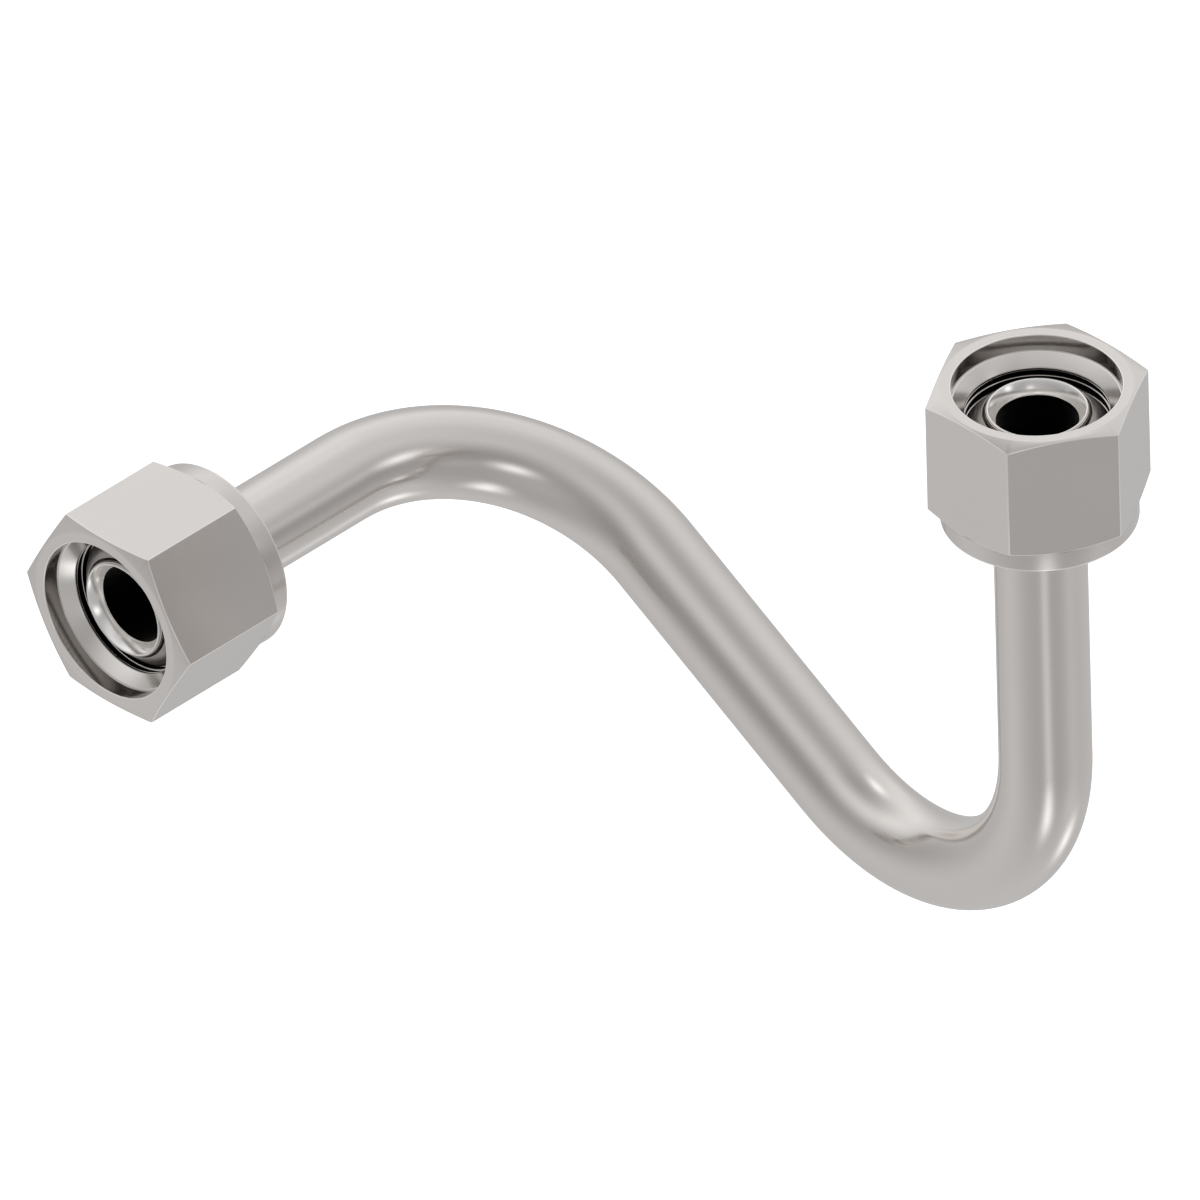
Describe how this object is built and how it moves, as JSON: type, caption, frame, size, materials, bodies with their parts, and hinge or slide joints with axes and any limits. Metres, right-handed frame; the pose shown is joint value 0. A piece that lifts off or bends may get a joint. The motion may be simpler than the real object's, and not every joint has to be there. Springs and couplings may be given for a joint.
{
  "type": "fuel line",
  "caption": "Rigid bent metal fuel line whose rolled tube ends carry domed sealing sleeves and freely turning hexagonal union nuts for metric threaded ports",
  "frame": {"origin": "centre of the left union nut's mouth, on the axis of its thread", "axes": "+X is the way the left nut opens, +Z is the way the right nut opens, and +Y completes the right-handed frame; the two nut axes are square to each other"},
  "size_m": [0.0523, 0.0884, 0.0616],
  "materials": {
    "tube_steel": "smooth drawn stainless steel tube, softly polished",
    "sleeve_steel": "fine turned stainless steel",
    "nut_steel": "satin machined stainless steel, bright broken edges"
  },
  "bodies": {
    "line": {"line_tube": "tube_steel", "left_sleeve": "sleeve_steel", "right_sleeve": "sleeve_steel"},
    "left_union": {"left_nut": "nut_steel"},
    "right_union": {"right_nut": "nut_steel"}
  },
  "joints": [
    {"name": "left_nut_spin", "type": "hinge", "parent": "line", "child": "left_union", "pos_m": [0, 0, 0], "axis": [1, 0, 0], "continuous": true},
    {"name": "right_nut_spin", "type": "hinge", "parent": "line", "child": "right_union", "pos_m": [-0.04378, 0.0688, 0.03575], "axis": [0, 0, 1], "continuous": true}
  ]
}
